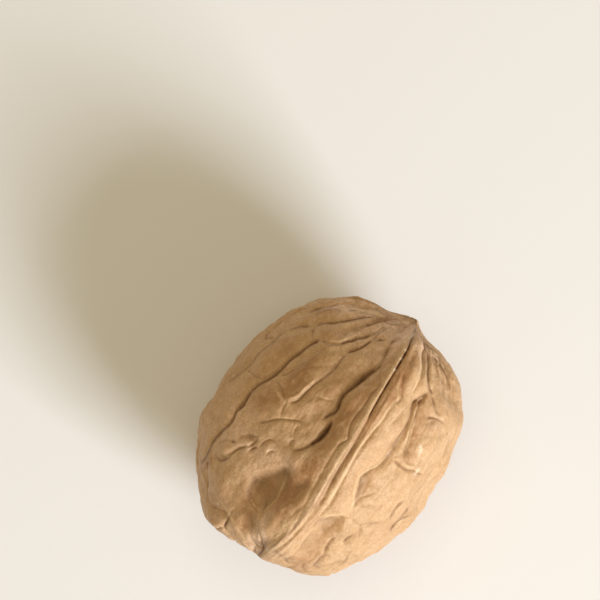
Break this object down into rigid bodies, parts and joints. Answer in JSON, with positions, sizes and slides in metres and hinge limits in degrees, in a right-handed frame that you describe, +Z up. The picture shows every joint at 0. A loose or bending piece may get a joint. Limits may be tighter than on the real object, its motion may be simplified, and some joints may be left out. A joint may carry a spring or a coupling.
{
  "type": "walnut in its shell",
  "caption": "Whole walnut in its dry woody shell, with a pointed tip, raised sutures and a net of furrows; rests on a small flat spot.",
  "frame": {"origin": "on the surface the nut rests on, under the middle of its bounding box", "axes": "+X from the broad base to the pointed tip, +Y to the fuller cheek, +Z up through the suture that is pictured"},
  "size_m": [0.0424, 0.0354, 0.0356],
  "materials": {
    "walnut_shell": "dry matte shell, tan with brown furrows"
  },
  "bodies": {
    "root": {"walnut": "walnut_shell"}
  },
  "joints": []
}
